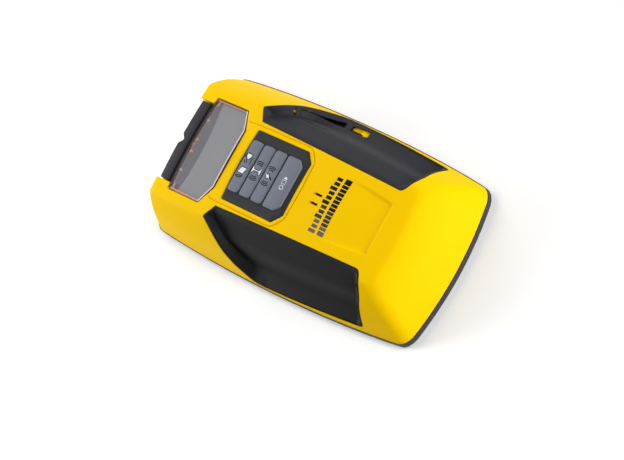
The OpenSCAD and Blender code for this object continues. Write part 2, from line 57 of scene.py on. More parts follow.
flat = math.cos(ELEVATION)
towards = Vector((math.sin(AZIMUTH) * flat, -math.cos(AZIMUTH) * flat, math.sin(ELEVATION)))
level = Vector((math.cos(AZIMUTH), math.sin(AZIMUTH), 0))
upright = towards.cross(level)
right = level * math.cos(ROLL) + upright * math.sin(ROLL)
up = -level * math.sin(ROLL) + upright * math.cos(ROLL)
camera = bpy.data.objects.new("camera", bpy.data.cameras.new("camera"))
camera.matrix_world = Matrix.Translation(CAMERA_AT) @ Matrix((right, up, towards)).transposed().to_4x4()
camera.data.lens = FOCAL_LENGTH
camera.data.sensor_width = SENSOR_WIDTH
camera.data.clip_start = 0.01
bpy.context.scene.collection.objects.link(camera)
bpy.context.scene.camera = camera

# ---- Shape of the housing -------------------------------------------------------------------------

RIM_H = 3.3  # top of the black rim
LEDGE = 0.4  # how far the rim stands out past the yellow shell
REACH = 77.35  # half the length, from the origin to the rim's ends
BOW_HALF = 37.3  # half the width over which the two ends are bowed


def half_width(y):
    return 41.1 - 0.00065 * (y - 15) ** 2


def deck_z(y):
    return 28.9 - 0.001 * (y - 12) ** 2


def side_x(s, y):
    """Half the housing's width at level s; the sides curve in towards the deck."""
    return half_width(y) - LEDGE - (9.4 - 0.0273 * (y - 10)) * s - 4.5 * s**5


def edge_z(s, y):
    return RIM_H + s * (deck_z(y) - 0.4 - RIM_H)


def ring(s):
    """The housing's outline at level s (0 foot, 1 edge of the deck), anticlockwise from the heel."""
    front_radius, heel_radius = 7 - 5.5 * s, 6 - s
    front_y = REACH - LEDGE - 8.4 * s + 2.3 * s**5
    heel_y = LEDGE - REACH + 14.1 * s + 4 * s**5
    front_x, heel_x = side_x(s, front_y - front_radius), side_x(s, heel_y + heel_radius)
    turn = np.linspace(0, math.pi / 2, 15)[:-1]
    along = np.linspace(0, 1, 17)[:-1]
    ys = np.linspace(heel_y + heel_radius, front_y - front_radius, 81)[:-1]
    right_half = np.concatenate([
        np.c_[(heel_x - heel_radius) * along, np.full(len(along), heel_y)],
        np.c_[heel_x - heel_radius * (1 - np.sin(turn)), heel_y + heel_radius * (1 - np.cos(turn))],
        np.c_[side_x(s, ys), ys],
        np.c_[front_x - front_radius * (1 - np.cos(turn)), front_y - front_radius * (1 - np.sin(turn))],
        np.c_[(front_x - front_radius) * (1 - along), np.full(len(along), front_y)],
        [[0, front_y]],
    ])
    both = np.concatenate([right_half, right_half[-2:0:-1] * [-1, 1]])
    x, y = both.T
    heel_bow = 4.47 * (x / BOW_HALF) ** 2 * np.clip(y / heel_y, 0, 1) ** 6
    front_bow = -(1.2 + 1.1 * s) * (x / BOW_HALF) ** 2 * np.clip(y / front_y, 0, 1) ** 6
    return np.c_[x, y + np.where(y < 0, heel_bow, front_bow)]


def body_levels():
    """Rings of the housing from its foot to the middle of the deck, with the shoulder rounded."""
    levels = []
    for s in [*np.linspace(0, 0.8, 11), *np.linspace(0.82, 1, 13)]:
        level_ring = ring(s)
        levels.append(np.c_[level_ring, edge_z(s, level_ring[:, 1])])
    top = ring(1)
    for q in [*np.linspace(0.985, 0.88, 8), *np.linspace(0.84, 0.02, 22)]:
        deck_ring = top * q
        levels.append(np.c_[deck_ring, deck_z(deck_ring[:, 1]) - 0.4 * q**4])
    stack = np.array(levels)
    first, last = 9, 34  # the levels round the shoulder, which are smoothed
    for _ in range(7):
        between = (stack[:-2] + 2 * stack[1:-1] + stack[2:]) / 4
        stack[first:last] = between[first - 1:last - 1]
    return stack


def loft_faces(rows, count):
    """Quads between closed rings that have the same number of points."""
    faces = []
    for k in range(rows - 1):
        for i in range(count):
            j = (i + 1) % count
            faces.append((k * count + i, k * count + j, (k + 1) * count + j, (k + 1) * count + i))
    return faces


STACK = body_levels()
LEVELS, RING_POINTS = STACK.shape[:2]
deck_cap = tuple(range((LEVELS - 1) * RING_POINTS, LEVELS * RING_POINTS))
body_tree = BVHTree.FromPolygons([tuple(p) for p in STACK.reshape(-1, 3)],
                                 [*loft_faces(LEVELS, RING_POINTS), deck_cap])
NUDGES = (0, 0.004, -0.007, 0.012)  # tried in turn where a ray runs through an edge


def body_at(points):
    """Height of the housing over each plan point, and how far up its surface faces there."""
    out = np.empty((len(points), 2))
    for i, (x, y) in enumerate(points):
        for nudge in NUDGES:
            hit, normal, _, _ = body_tree.ray_cast((x + nudge, y + 0.7 * nudge, 100), (0, 0, -1))
            if hit is not None:
                break
        out[i] = (RIM_H, 0.4) if hit is None else (hit.z, max(0.25, abs(normal.z)))
    return out[:, 0], out[:, 1]


# ---- Lines in plan --------------------------------------------------------------------------------

def distance(points, line, closed=True):
    """Distance of each point from a line; negative inside it if it is closed."""
    points, line = np.asarray(points, float), np.asarray(line, float)
    ends = np.roll(line, -1, axis=0) if closed else line[1:]
    best = np.full(len(points), 1e9)
    inside = np.zeros(len(points), bool)
    for a, b in zip(line, ends):
        d, p = b - a, points - a
        t = np.clip((p @ d) / max(d @ d, 1e-12), 0, 1)
        best = np.minimum(best, np.hypot(*(p - t[:, None] * d).T))
        if closed and a[1] != b[1]:
            crosses = (a[1] > points[:, 1]) != (b[1] > points[:, 1])
            inside ^= crosses & (points[:, 0] < a[0] + (points[:, 1] - a[1]) * d[0] / d[1])
    return np.where(inside, -best, best)


def rounded(corners, radius, steps=5):
    """A closed polygon with its corners rounded."""
    corners = np.asarray(corners, float)
    radii = np.broadcast_to(radius, len(corners))
    out = []
    for i, p in enumerate(corners):
        a, b = corners[i - 1] - p, corners[(i + 1) % len(corners)] - p
        a, b = a / np.linalg.norm(a), b / np.linalg.norm(b)
        half = math.acos(np.clip(a @ b, -1, 1)) / 2
        reach = radii[i] / math.tan(half)
        for t in np.linspace(0, 1, steps + 1):
            s, e = p + a * reach, p + b * reach
            out.append(s * (1 - t) ** 2 + 2 * p * t * (1 - t) + e * t**2)
    return np.array(out)


def spaced(line, step, closed=True):
    """The same line with its long stretches divided."""
    line = np.asarray(line, float)
    ends = np.roll(line, -1, axis=0) if closed else line[1:]
    out = []
    for a, b in zip(line, ends):
        n = max(1, math.ceil(np.linalg.norm(b - a) / step))
        out += [a + (b - a) * k / n for k in range(n)]
    if not closed:
        out.append(line[-1])
    return np.array(out)


def grown(line, by):
    """A closed outline moved outwards by a small distance."""
    line = np.asarray(line, float)
    d = np.roll(line, -1, axis=0) - np.roll(line, 1, axis=0)
    normal = np.c_[d[:, 1], -d[:, 0]] / np.maximum(np.hypot(*d.T), 1e-9)[:, None]
    x, y = line.T
    area = np.sum(x * np.roll(y, -1) - np.roll(x, -1) * y)
    return line + normal * by * np.sign(area)


def mirrored(line):
    return line[::-1] * [-1, 1]


def smooth_line(points, step=0.8):
    """A curve through open points."""
    p = np.asarray(points, float)
    p = np.concatenate([[2 * p[0] - p[1]], p, [2 * p[-1] - p[-2]]])
    out = []
    for i in range(1, len(p) - 2):
        n = max(2, math.ceil(np.linalg.norm(p[i + 1] - p[i]) / step))
        for t in np.arange(n) / n:
            out.append(0.5 * (2 * p[i] + (p[i + 1] - p[i - 1]) * t
                              + (2 * p[i - 1] - 5 * p[i] + 4 * p[i + 1] - p[i + 2]) * t**2
                              + (3 * p[i] - p[i - 1] - 3 * p[i + 1] + p[i + 2]) * t**3))
    return np.array(out + [p[-2]])


def shifted(line, by):
    """An open line moved sideways."""
    d = np.gradient(line, axis=0)
    normal = np.c_[d[:, 1], -d[:, 0]] / np.maximum(np.hypot(*d.T), 1e-9)[:, None]
    return line + normal * by


def stroke(line, width):
    """The outline of a line drawn with a pen."""
    line = np.asarray(line, float)
    return np.concatenate([shifted(line, width / 2), shifted(line, -width / 2)[::-1]])


def ringed(outline, width):
    """A closed outline drawn as a stroke, in two halves."""
    outline = np.asarray(outline, float)
    inner = grown(outline, -width)
    half = len(outline) // 2
    return [np.concatenate([outline[:half + 1], inner[:half + 1][::-1]]),
            np.concatenate([outline[half:], outline[:1], inner[:1], inner[half:][::-1]])]


def soft_min(a, b, k):
    """The lower of two heights, blended where they differ by less than k."""
    h = np.clip(0.5 + 0.5 * (b - a) / k, 0, 1)
    return b + (a - b) * h - k * h * (1 - h)


def soft_max(a, b, k):
    return -soft_min(-a, -b, k)


def fillet(d, width, depth):
    """How far an edge falls at a distance d from its line: depth at the line, nothing beyond width."""
    t = np.clip(1 - d / width, 0, 1)
    return depth * (1 - np.sqrt(np.clip(1 - t**2, 0, 1)))


# ---- Outlines of the window, the panel and the deck -----------------------------------------------

LENS_HALF, LENS_FRONT, LENS_REAR = 22.4, 59.1, 34.3
LENS_SIDE_END = LENS_REAR + 4.4  # where each side meets its chamfered corner
LENS_CORNERS = np.array([
    (-LENS_HALF, LENS_FRONT), (-LENS_HALF, LENS_SIDE_END), (-13.8, LENS_REAR),
    (13.8, LENS_REAR), (LENS_HALF, LENS_SIDE_END), (LENS_HALF, LENS_FRONT)])


def lens_outline(by=0.0):
    """The display window's outline, moved inwards."""
    side = np.roll(LENS_CORNERS, -1, axis=0) - LENS_CORNERS
    side = side / np.hypot(*side.T)[:, None]
    inwards = np.c_[-side[:, 1], side[:, 0]]
    corners = [corner + np.linalg.solve(np.array([inwards[i - 1], inwards[i]]), [by, by])
               for i, corner in enumerate(LENS_CORNERS)]
    line = spaced(rounded(corners, [0.9, 1.2, 1.2, 1.2, 1.2, 0.9]), 1.2)
    front_bow = 0.1 * np.clip((line[:, 1] - 55) / 3, 0, 1) * (1 - (line[:, 0] / LENS_HALF) ** 2)
    return line + np.c_[np.zeros(len(line)), front_bow]


def lens_top(x, y):
    """Height of the window's crowned top."""
    return 29.48 - 0.0453 * (y - LENS_REAR) - 0.0021 * x**2


LENS = lens_outline()
PANEL_HALF, PANEL_TOP = 16.5, 28.85
panel_front = [(x, 28.35 - 0.8 * (x / PANEL_HALF) ** 2) for x in (10.5, 5, 0, -5, -10.5)]
panel_left = [(-PANEL_HALF, 27.55), (-PANEL_HALF, -2.1), (-12.1, -5.95)]
panel_right = [(-x, y) for x, y in reversed(panel_left)]
PANEL = rounded([*panel_front, *panel_left, (0, -5.6), *panel_right], 0.6)

groove_left = smooth_line([
    (-17.9, 34.9), (-18.4, 33.2), (-18.6, 30), (-18.6, 20), (-18.6, 8), (-18.6, 0), (-18.4, -2.2),
    (-17.5, -3.8), (-14.2, -6.7), (-12.7, -7.35), (-10, -7.5), (0, -7.8)])
GROOVE = np.concatenate([groove_left, mirrored(groove_left[:-1])])
GROOVE_HALF, GROOVE_DEPTH = 0.54, 0.34

SLOT_HALF, SLOT_Z, SLOT_LIP = 19.7, 21.2, 69.2  # the gap between the two front lobes

RECESS_REAR, RECESS_DEPTH, RECESS_SLOPE = -49.2, 1.15, math.tan(math.radians(8.5))
RECESS = [(-11, RECESS_REAR), (11, RECESS_REAR), (12.7, -36), (14.2, -22), (-14.2, -22), (-12.7, -36)]
RECESS_LINE = spaced(rounded(RECESS, [0.9, 0.9, 2, 1, 1, 2]), 1.0)


def recessed(points, z):
    """The deck's height with the shallow sloping recess cut into it."""
    floor_z = deck_z(RECESS_REAR) - RECESS_DEPTH + RECESS_SLOPE * (points[:, 1] - RECESS_REAR)
    return soft_min(z, floor_z + 1.4 * np.maximum(0, distance(points, RECESS_LINE)), 0.25)


def deck_surface(points):
    return recessed(points, body_at(points)[0])


# ---- Grips ----------------------------------------------------------------------------------------

GRIP_LOW_Z = 4.4  # height of the grip's lower edge
RUBBER_T = 0.95
GRIP_INNER_ENDS = (-48.6, 28.5)
GRIP_LOW_ENDS = (-50.6, 4)


def grip_inner_x(y):
    return 20.3 - 0.034 * (GRIP_INNER_ENDS[1] - y)


def grip_low_x(y):
    return half_width(y) - LEDGE - 0.4 - 0.0165 * np.maximum(0, GRIP_LOW_ENDS[1] - y)


front_slant = spaced([(20.3, 28.5), (26.2, 32.3)], 0.8, closed=False)
front_curve = smooth_line([
    (26.6, 32.4), (27.1, 31.6), (28.6, 29.5), (30.7, 27.0), (33.1, 24.7), (35.5, 22.3), (37.1, 19.9),
    (38.05, 17.8), (38.76, 15.4), (39.4, 12.9), (39.95, 10.3), (40.2, 7.3),
    (grip_low_x(GRIP_LOW_ENDS[1]), GRIP_LOW_ENDS[1])])
GRIP_FRONT = np.concatenate([front_slant[:-1], front_curve])
GRIP_HEEL = smooth_line([
    (grip_low_x(GRIP_LOW_ENDS[0]), GRIP_LOW_ENDS[0]), (36.2, -51.9), (35.6, -52.3), (34.0, -52.4),
    (32.3, -52.6), (30.0, -53.0), (27.3, -53.3), (25.3, -53.1), (22.4, -52.4), (19.6, -51.2), (18.0, -49.9),
    (17.65, -48.6)])
low_ys = np.linspace(GRIP_LOW_ENDS[1], GRIP_LOW_ENDS[0], 70)[1:-1]
inner_ys = np.linspace(*GRIP_INNER_ENDS, 80)[1:-1]
GRIP = np.concatenate([
    GRIP_FRONT, np.c_[grip_low_x(low_ys), low_ys], GRIP_HEEL, np.c_[grip_inner_x(inner_ys), inner_ys]])

# the scoop's section: how far down it is, from 0 to 1, at each share of the way from deck to rim
SCOOP_ACROSS = np.linspace(0, 1, 400)
scoop_knots = np.interp(SCOOP_ACROSS, [0, 0.09, 0.42, 0.50, 0.66, 0.78, 0.95, 1],
                        [0, 0.015, 0.29, 0.40, 0.80, 0.88, 0.975, 1])
SMOOTHING = np.hanning(31) / np.hanning(31).sum()
SCOOP_DOWN = np.convolve(np.pad(scoop_knots, len(SMOOTHING) // 2, mode="edge"), SMOOTHING, "valid")
FRONT_LIP, HEEL_LIP = 0.75, 1.3
FRONT_WALL_SLOPE, HEEL_WALL_SLOPE = 2.2, 3.2


def grip_z(points, body_z):
    """Height of the scooped rubber over each plan point of the right-hand side."""
    x, y = np.abs(points[:, 0]), points[:, 1]
    across = np.clip((x - grip_inner_x(y)) / (grip_low_x(y) - grip_inner_x(y)), 0, 1)
    top = deck_z(y) - 0.3
    scoop = top + (GRIP_LOW_Z - top) * np.interp(across, SCOOP_ACROSS, SCOOP_DOWN)
    side = np.c_[x, y]
    front = distance(side, GRIP_FRONT, closed=False) - FRONT_LIP * np.clip((y - 3) / 14, 0, 1)
    heel = distance(side, GRIP_HEEL, closed=False) - HEEL_LIP
    wall = body_z - np.maximum(0, np.minimum(FRONT_WALL_SLOPE * front, HEEL_WALL_SLOPE * heel))
    return np.minimum(body_z, soft_max(scoop, wall, 1.4))


# the button in the right-hand grip, the gap that widens below it, and the slots at its two ends
BUTTON = rounded(
    [(29.35, 20.7), (29.2, 2.6), (35.4, 2.4), (35.25, 7.1), (34.9, 11.7), (34.75, 15.7), (34.75, 17.7),
     (33.95, 20.2), (33.4, 21.35), (30.1, 21.35)],
    [0.8, 1.0, 0.5, 2, 2, 0.6, 0.6, 0.6, 0.4, 0.6])
WEDGE = np.array([
    (33.4, 21.9), (34.3, 20.5), (34.95, 19.0), (35.15, 17.0), (35.4, 15.4), (36.1, 13), (36.8, 10.5),
    (37.4, 8), (37.65, 6.1), (37.3, 5.2), (35.3, 5.0)])
FRONT_SLIT = np.array([
    (29.5, 22.3), (30.7, 22.45), (32.9, 22.75), (32.85, 23.2), (30.7, 23.25), (29.5, 23.15)])
HEEL_SLOT = rounded(
    [(37.5, 2.1), (38.0, -1.5), (38.1, -5.0), (37.6, -7.4), (35.3, -8.1), (34.8, -5.5), (34.95, -1.0),
     (35.1, 1.8)],
    [0.25, 2, 1, 0.3, 0.3, 1, 1, 0.25])

# openings in the yellow shell, under the button and under the keys
SHELL_WINDOW = [(25, 23.6), (25, 1.6), (36.6, 1.6), (38.4, 3.5), (38.4, 10), (37.6, 14.5), (36.2, 18.5),
                (34.9, 21.8), (34.0, 24)]
SHELL_KEYS = [(-13.8, 27.3), (-13.8, -4.1), (13.8, -4.1), (13.8, 27.3)]

# ---- Meshes ---------------------------------------------------------------------------------------


def set_sharp(mesh, angle=38):
    """Smooth shading with sharp edges where two faces meet at more than the angle."""
    bm = bmesh.new()
    bm.from_mesh(mesh)
    bmesh.ops.recalc_face_normals(bm, faces=bm.faces)
    for face in bm.faces:
        face.smooth = True
    for edge in bm.edges:
        edge.smooth = len(edge.link_faces) == 2 and edge.calc_face_angle(0) < math.radians(angle)
    bm.to_mesh(mesh)
    bm.free()


def bevel_edges(mesh, width):
    """Round every edge where two faces meet at more than 30 degrees."""
    bm = bmesh.new()
    bm.from_mesh(mesh)
    bmesh.ops.remove_doubles(bm, verts=bm.verts, dist=1e-6)
    bmesh.ops.recalc_face_normals(bm, faces=bm.faces)
    edges = [e for e in bm.edges if len(e.link_faces) == 2 and e.calc_face_angle(0) > math.radians(30)]
    bmesh.ops.bevel(bm, geom=edges, offset=width * MM, segments=3, profile=0.5, affect="EDGES",
                    clamp_overlap=True)
    bm.to_mesh(mesh)
    bm.free()


def piece(name, points, faces, body, slot, look, replaces=(), bevel=None, angle=38):
    """A mesh piece from points in mm, riding on a body."""
    mesh = bpy.data.meshes.new(name)
    corners = [tuple(float(c) * MM for c in p) for p in points]
    mesh.from_pydata(corners, [], [tuple(int(i) for i in f) for f in faces])
    mesh.validate()
    if bevel:
        bevel_edges(mesh, bevel)
    set_sharp(mesh, angle)
    mesh.materials.append(look)
    made = bpy.data.objects.new(name, mesh)
    bpy.context.scene.collection.objects.link(made)
    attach(made, body)
    if replaces:
        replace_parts(made, *replaces)
    return made


def plan_mesh(loops, filler, keep_off=0.3):
    """Triangles over a plan region. Each loop is (points, closed); filler too near a loop is left out."""
    near = np.full(len(filler), 1e9)
    for line, closed in loops:
        near = np.minimum(near, np.abs(distance(filler, line, closed)))
    filler = filler[(near > keep_off) & (distance(filler, loops[0][0]) < 0)]
    points, edges = [], []
    for line, closed in loops:
        start, count = len(points), len(line)
        points += [tuple(p) for p in line]
        edges += [(start + i, start + (i + 1) % count) for i in range(count if closed else count - 1)]
    points += [tuple(p) for p in filler]
    verts, _, faces, _, _, _ = delaunay_2d_cdt([Vector(p) for p in points], edges, [], 1, 1e-4, False)
    return np.array([tuple(v) for v in verts]), np.array([tuple(f) for f in faces])


def grid(x0, x1, y0, y1, step):
    """Points in rows, with every other row moved by half a step."""
    xs, ys = np.arange(x0, x1, step), np.arange(y0, y1, step)
    gx, gy = np.meshgrid(xs, ys)
    gx = gx + (np.arange(len(ys)) % 2)[:, None] * step / 2
    return np.c_[gx.ravel(), gy.ravel()]


def open_edges(faces):
    """The open edges of a triangle mesh, as directed pairs."""
    directed = {(f[i], f[(i + 1) % 3]) for f in faces.tolist() for i in range(3)}
    return [(a, b) for a, b in directed if (b, a) not in directed]


def kept(faces, verts, *values):
    """Only the points that the faces use, with the values that belong to them."""
    used = np.unique(faces)
    place = np.full(len(verts), -1)
    place[used] = np.arange(len(used))
    return (verts[used], place[faces], *(v[used] for v in values))


def inside_only(verts, faces, outline):
    """The part of a plan mesh within an outline."""
    return kept(faces[distance(verts[faces].mean(1), outline) < 0], verts)


def outside_only(verts, faces, holes):
    """The faces of a plan mesh that lie in none of the holes."""
    for hole in holes:
        faces = faces[distance(verts[faces].mean(1), hole) > 0]
    return faces


def slab(verts, z_top, z_low, faces):
    """A closed solid between two heights over a plan mesh."""
    count = len(verts)
    walls = [(a, b, b + count, a + count) for a, b in open_edges(faces)]
    return (np.concatenate([np.c_[verts, z_top], np.c_[verts, z_low]]),
            [*faces.tolist(), *(faces[:, ::-1] + count).tolist(), *walls])


def loft(rows):
    """Rings of points joined into a skin, with its ends closed."""
    rows = np.array(rows)
    levels, count = rows.shape[:2]
    first = tuple(range(count - 1, -1, -1))
    last = tuple(range((levels - 1) * count, levels * count))
    return rows.reshape(-1, 3), [*loft_faces(levels, count), first, last]


# ---- Materials ------------------------------------------------------------------------------------


def material(name, colour, rough, vary=0.04, grain=0.0, grain_size=0.35, rough_vary=0.06, blotch=25.0,
             specular=0.5, **sockets):
    """Moulded plastic, rubber or metal: slow changes of shade, changes of gloss, and a fine moulded grain."""
    made = bpy.data.materials.new(name)
    made.use_nodes = True
    tree = made.node_tree
    tree.nodes.clear()
    output = tree.nodes.new("ShaderNodeOutputMaterial")
    shader = tree.nodes.new("ShaderNodeBsdfPrincipled")
    tree.links.new(shader.outputs[0], output.inputs[0])
    coords = tree.nodes.new("ShaderNodeTexCoord")

    def noise(size_mm, detail):
        node = tree.nodes.new("ShaderNodeTexNoise")
        node.inputs["Scale"].default_value = 1000 / size_mm
        node.inputs["Detail"].default_value = detail
        tree.links.new(coords.outputs["Object"], node.inputs["Vector"])
        return node

    def ranged(source, low, high):
        node = tree.nodes.new("ShaderNodeMapRange")
        node.inputs["From Min"].default_value, node.inputs["From Max"].default_value = 0.3, 0.7
        node.inputs["To Min"].default_value, node.inputs["To Max"].default_value = low, high
        tree.links.new(source.outputs["Fac"], node.inputs["Value"])
        return node

    slow = noise(blotch, 3)
    mix = tree.nodes.new("ShaderNodeMix")
    mix.data_type = "RGBA"
    mix.inputs["A"].default_value = (*(c * (1 - vary) for c in colour), 1)
    mix.inputs["B"].default_value = (*(min(1, c * (1 + vary)) for c in colour), 1)
    tree.links.new(slow.outputs["Fac"], mix.inputs["Factor"])
    tree.links.new(mix.outputs["Result"], shader.inputs["Base Color"])
    fine = noise(grain_size, 2)
    gloss = ranged(fine, max(0.02, rough - rough_vary), rough + rough_vary)
    tree.links.new(gloss.outputs[0], shader.inputs["Roughness"])
    if grain:
        bump = tree.nodes.new("ShaderNodeBump")
        bump.inputs["Strength"].default_value = grain
        bump.inputs["Distance"].default_value = 0.05 * MM
        tree.links.new(fine.outputs["Fac"], bump.inputs["Height"])
        tree.links.new(bump.outputs[0], shader.inputs["Normal"])
    shader.inputs["Specular IOR Level"].default_value = specular
    for key, value in sockets.items():
        shader.inputs[key.replace("_", " ")].default_value = value
    return made


def moulded(name, colour, rough, vary, grain, grain_size, specular):
    """A moulding with a fine grain; its looks are given in the order of a table's columns."""
    return material(name, colour, rough, vary=vary, grain=grain, grain_size=grain_size, specular=specular)


YELLOW = moulded("yellow_plastic", (0.93, 0.575, 0.001), 0.45, 0.03, 0.3, 0.3, 0.015)
# painted shade in the groove round the panel
GROOVE_SHADE = material("groove_painted_shade", (0.74, 0.38, 0.001), 0.5, vary=0.05, specular=0.015)
# painted shade: the yellow shell seen darker through the heel slot
SLOT_SHADE_YELLOW = material("shaded_yellow", (0.62, 0.30, 0.002), 0.45, vary=0.1, blotch=3, specular=0.015)
# painted shade: the yellow shell seen darker through the slit and the gap by the button
SLIT_SHADE_YELLOW = material("slit_painted_shade", (0.36, 0.17, 0.004), 0.45, vary=0.1, blotch=3, specular=0.015)
BLACK = moulded("black_plastic", (0.034, 0.033, 0.038), 0.5, 0.15, 0.5, 0.3, 0.25)
RUBBER = moulded("grip_rubber", (0.030, 0.030, 0.035), 0.6, 0.15, 0.4, 0.25, 0.1)
# a darker copy of the grip rubber for the left grip: painted shade
LEFT_RUBBER_SHADED = moulded("grip_rubber_left", (0.017, 0.017, 0.018), 0.6, 0.15, 0.4, 0.25, 0.1)
GUIDE_PLASTIC = moulded("guide_plastic", (0.034, 0.032, 0.039), 0.5, 0.1, 0.4, 0.25, 0.12)
PANEL_PLASTIC = moulded("panel_film", (0.034, 0.034, 0.039), 0.5, 0.1, 0.3, 0.25, 0.08)
KEY_PLASTIC = moulded("key_plastic", (0.158, 0.176, 0.216), 0.5, 0.05, 0.3, 0.25, 0.15)
WHITE_INK = material("white_ink", (0.75, 0.76, 0.8), 0.5, vary=0.03)
DARK_INK = material("dark_ink", (0.008, 0.008, 0.010), 0.5, vary=0.1, specular=0.05)
CLEAR = material("clear_window", (0.22, 0.19, 0.20), 0.08, vary=0.02, rough_vary=0.03, specular=0.25,
                 Alpha=0.08)
# painted shade in the window's edges
WINDOW_EDGE_SHADE = material("window_painted_shade_band", (0.042, 0.028, 0.028), 0.4, vary=0.1, specular=0.05)
# black for painted shadow: the gap behind the guide and the heel slot's inner side
GAP_SHADOW = material("painted_gap_shadow", (0.004, 0.004, 0.004), 0.6, vary=0.1, specular=0.05)
# painted reflections of the yellow shell in the window's edges, and a painted highlight
WARM_REFLECTION = material("window_painted_warm_reflection", (0.66, 0.20, 0.05), 0.4, vary=0.15, blotch=4)
PALE_REFLECTION = material("window_painted_pale_reflection", (0.33, 0.20, 0.20), 0.4, vary=0.15, blotch=4)
EDGE_HIGHLIGHT = material("window_painted_highlight", (0.72, 0.60, 0.62), 0.3, vary=0.12, blotch=4)
FILM = material("display_film", (0.288, 0.296, 0.322), 0.4, vary=0.07, rough_vary=0.05, blotch=18,
                specular=0.1)
# painted shadow across the front of the display film
FILM_SHADOW = material("display_painted_shadow", (0.155, 0.155, 0.172), 0.4, vary=0.06, specular=0.1)
# the deck mark's black print, with lighter tones of painted sheen towards its left
MARK_SHEEN_GREY, MARK_SHEEN_MID, MARK_BLACK, MARK_TIP = (
    material("mark_ink_" + name, colour, 0.5, vary=0.15, blotch=3, specular=0.1)
    for name, colour in [("painted_sheen_grey", (0.13, 0.12, 0.105)), ("mid", (0.04, 0.038, 0.036)),
                         ("black", (0.008, 0.007, 0.006)), ("tip", (0.70, 0.17, 0.004))])

# ---- Yellow shell ---------------------------------------------------------------------------------

SHELL_RINGS = (0.02, 0.05, 0.1, 0.16, 0.23, 0.3, 0.38, 0.46, 0.54, 0.62, 0.69, 0.76, 0.82, 0.87, 0.91, 0.95,
               0.98, 1)


def shell_loops(foot, lens, panel):
    """Lines that the shell's mesh follows, close together where its surface bends."""
    loops = [(foot, True)]
    loops += [(line, True) for line in (grown(lens, 0.15), grown(lens, 0.35), lens, grown(lens, -0.04))]
    loops += [(line, True) for line in (grown(panel, 0.12), grown(panel, 0.3), panel, grown(panel, -0.04))]
    for grip in (GRIP, mirrored(GRIP)):
        loops += [(line, True) for line in (grip, grown(grip, -0.05), grown(grip, 0.1))]
    for sign in (-1, 1):
        x = sign * SLOT_HALF
        for dx in (0, 0.05 * -sign, 0.12 * sign, 0.3 * sign):
            wall = spaced([(x + dx, LENS_FRONT + 0.6), (x + dx, 70.3)], 1.0, closed=False)
            loops.append((wall, False))
    loops += [(shifted(GROOVE, d), False)
              for d in (-0.7, -GROOVE_HALF, -GROOVE_HALF / 2, 0, GROOVE_HALF / 2, GROOVE_HALF, 0.7)]
    loops += [(grown(RECESS_LINE, d), True) for d in (-0.15, 0.25, 0.65, 1.0)]
    return loops + [(spaced(SHELL_WINDOW, 1.0), True), (spaced(SHELL_KEYS, 2.0), True)]


def shell_heights(verts, lens, panel, foot):
    """Heights of the shell's outer and inner faces over its plan points."""
    body_z, up_share = body_at(verts)
    x, y = verts.T
    panel_d = distance(verts, panel)
    grip_d = np.minimum(distance(verts, GRIP), distance(verts, mirrored(GRIP)))
    z = body_z - fillet(distance(verts, lens), 0.35, 0.3) - fillet(panel_d, 0.3, 0.25)
    groove_share = np.clip(np.abs(distance(verts, GROOVE, closed=False)) / GROOVE_HALF, 0, 1)
    z = z - GROOVE_DEPTH * (1 - groove_share ** 2) ** 1.5
    z = recessed(verts, z)
    z = z - fillet(grip_d, 0.1, 0.15) / up_share
    z = np.where(grip_d < -0.02, np.minimum(z, grip_z(verts, body_z) - RUBBER_T - 0.05), z)
    z = np.where(panel_d < -0.02, PANEL_TOP - 1.35, z)
    in_slot = (np.abs(x) < SLOT_HALF - 0.02) & (y > LENS_FRONT)
    slot_edge = np.where(y > LENS_FRONT, fillet(np.abs(x) - SLOT_HALF, 0.3, 0.25), 0)
    z = z - np.where(in_slot, 0, slot_edge)
    z = np.where(in_slot, soft_min(z, SLOT_Z - 1.2 * np.maximum(0, y - SLOT_LIP), 0.5), z)
    on_foot = distance(verts, foot) > -0.01
    z = np.where(on_foot, RIM_H + 0.04, np.maximum(z, RIM_H + 0.04))
    under = np.maximum(RIM_H + 0.01, z - np.where(in_slot, 1, 1.7 / np.maximum(up_share, 0.5)))
    return z, under


def make_shell():
    lens = lens_outline(-0.12)
    panel = spaced(grown(PANEL, 0.1), 1.2)
    foot = spaced(ring(0), 1.2)
    rings = [ring(s)[:, :2] for s in SHELL_RINGS] + [ring(1) * q for q in (0.99, 0.975, 0.96, 0.94)]
    filler = np.concatenate([*rings, grid(-27, 27, -58, 68, 1.5)])
    verts, faces = plan_mesh(shell_loops(foot, lens, panel), filler)
    z, under = shell_heights(verts, lens, panel, foot)
    faces = outside_only(verts, faces, (lens, SHELL_WINDOW, SHELL_KEYS))
    verts, faces, z, under = kept(faces, verts, z, under)
    solid = slab(verts, z, under, faces)
    piece("shell_yellow", *solid, "case", "yellow_shell", YELLOW, ["top_shell"], angle=50)


def make_groove_line():
    """A thin ribbon of painted shade in the groove round the panel."""
    verts = np.concatenate([shifted(GROOVE, 0.2), shifted(GROOVE, -0.2)])
    count = len(GROOVE)
    faces = [t for i in range(count - 1)
             for t in ((i, i + 1, count + i + 1), (i, count + i + 1, count + i))]
    z = body_at(verts)[0] - 0.2
    solid = slab(verts, z, z - 0.3, np.array(faces))
    piece("groove_line", *solid, "case", "yellow_shell", GROOVE_SHADE, angle=60)


make_shell()
make_groove_line()

# ---- Grips and the slots in the right-hand one ----------------------------------------------------


